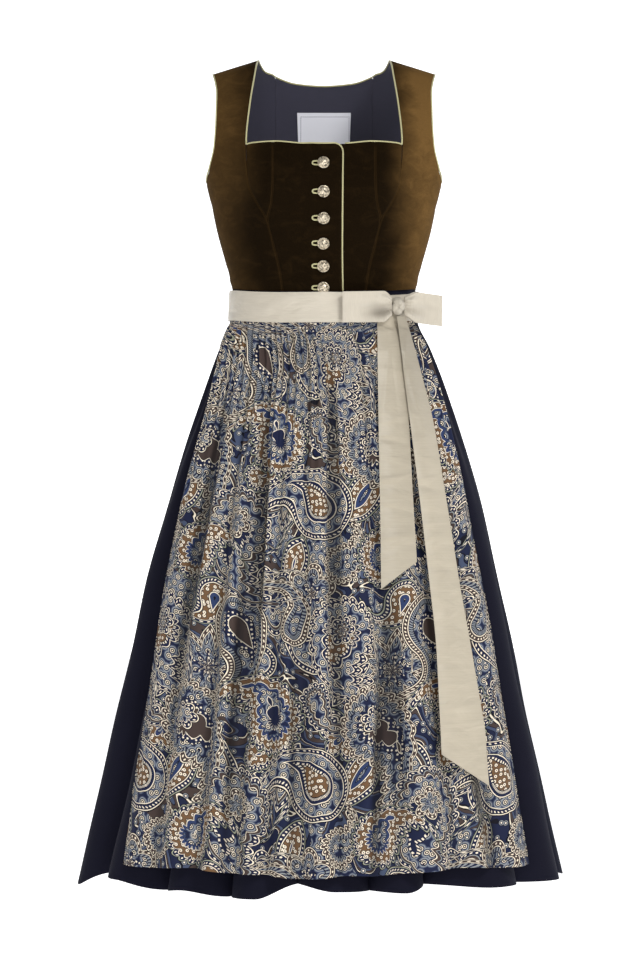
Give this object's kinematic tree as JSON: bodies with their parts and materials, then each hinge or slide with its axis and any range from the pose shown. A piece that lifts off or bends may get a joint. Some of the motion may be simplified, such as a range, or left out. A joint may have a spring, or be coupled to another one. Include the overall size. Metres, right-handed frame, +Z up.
{
  "type": "dirndl",
  "caption": "Dirndl with a buttoned square-necked velvet bodice, gathered skirt and printed apron tied in a bow.",
  "frame": {"origin": "midway between the shoulders, at the height where the straps rest on the wearer", "axes": "+Z up, the dress's front faces -Y, the wearer's left is +X"},
  "size_m": [0.6402, 0.524, 1.0984],
  "materials": {
    "velvet": "olive-brown cotton velvet",
    "lining": "navy woven lining",
    "label": "grey woven label",
    "piping": "pale yellow-green satin",
    "silver": "aged silver filigree",
    "skirt": "dark navy wool-like cloth",
    "print": "printed cotton, paisley",
    "satin": "cream satin"
  },
  "bodies": {
    "root": {"front_right": "velvet", "cup_right": "velvet", "side_front_right": "velvet", "side_back_right": "velvet", "front_left": "velvet", "cup_left": "velvet", "side_front_left": "velvet", "side_back_left": "velvet", "centre_back": "velvet", "lining_centre_back": "lining", "lining_side_back_right": "lining", "lining_side_back_left": "lining", "label": "label", "piping_front_right": "piping", "piping_front_left": "piping", "piping_back": "piping", "piping_armhole_right": "piping", "piping_armhole_left": "piping", "buttonhole_1": "piping", "buttonhole_2": "piping", "buttonhole_3": "piping", "buttonhole_4": "piping", "buttonhole_5": "piping", "buttonhole_6": "piping", "button_1": "silver", "button_2": "silver", "button_3": "silver", "button_4": "silver", "button_5": "silver", "button_6": "silver", "skirt_front_right": "skirt", "skirt_front_left": "skirt", "skirt_back_left": "skirt", "skirt_back_right": "skirt", "apron": "print", "waistband": "satin", "tie_round_back": "satin", "bow_knot": "satin", "bow_loop_right": "satin", "bow_loop_left": "satin", "tail_short": "satin", "tail_long": "satin"}
  },
  "joints": []
}
